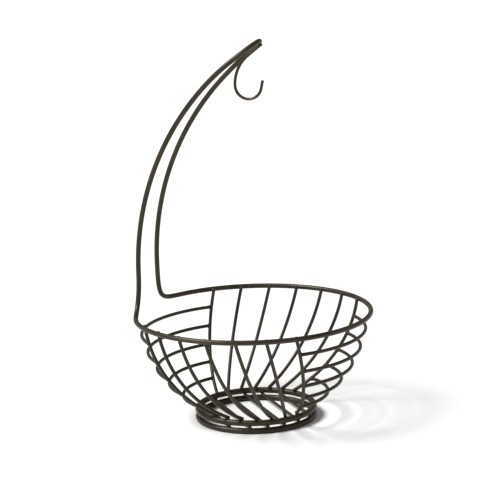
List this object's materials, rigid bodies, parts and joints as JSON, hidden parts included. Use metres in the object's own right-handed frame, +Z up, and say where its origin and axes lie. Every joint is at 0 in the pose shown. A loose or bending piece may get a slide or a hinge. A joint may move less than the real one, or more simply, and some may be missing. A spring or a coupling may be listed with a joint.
{
  "type": "fruit basket with banana hanger",
  "caption": "Round welded wire fruit basket on a ring foot, with a tall looped hanger that curves over the bowl and carries a hook for bananas.",
  "frame": {"origin": "middle of the foot ring, on the surface that the basket stands on", "axes": "+Z up; the hanger stands at -X and its hook reaches back over the bowl towards +X; the arms are mirror images across the XZ plane"},
  "size_m": [0.2337, 0.24, 0.3814],
  "materials": {
    "bronze_coated_wire": "satin"
  },
  "bodies": {
    "root": {"rim_and_hanger": "bronze_coated_wire", "banana_hook": "bronze_coated_wire", "upper_base_ring": "bronze_coated_wire", "foot_ring": "bronze_coated_wire", "front_rib_1": "bronze_coated_wire", "front_rib_2": "bronze_coated_wire", "front_rib_3": "bronze_coated_wire", "front_rib_4": "bronze_coated_wire", "front_rib_5": "bronze_coated_wire", "front_rib_6": "bronze_coated_wire", "front_rib_7": "bronze_coated_wire", "back_rib_1": "bronze_coated_wire", "back_rib_2": "bronze_coated_wire", "back_rib_3": "bronze_coated_wire", "back_rib_4": "bronze_coated_wire", "back_rib_5": "bronze_coated_wire", "back_rib_6": "bronze_coated_wire", "back_rib_7": "bronze_coated_wire", "right_side_wire_1": "bronze_coated_wire", "right_side_wire_2": "bronze_coated_wire", "right_side_wire_3": "bronze_coated_wire", "right_side_wire_4": "bronze_coated_wire", "right_side_wire_5": "bronze_coated_wire", "left_side_wire_1": "bronze_coated_wire", "left_side_wire_2": "bronze_coated_wire", "left_side_wire_3": "bronze_coated_wire", "left_side_wire_4": "bronze_coated_wire", "left_side_wire_5": "bronze_coated_wire", "floor_wire_1": "bronze_coated_wire", "floor_wire_2": "bronze_coated_wire", "floor_wire_3": "bronze_coated_wire", "floor_wire_4": "bronze_coated_wire", "floor_wire_5": "bronze_coated_wire", "floor_wire_6": "bronze_coated_wire"}
  },
  "joints": []
}
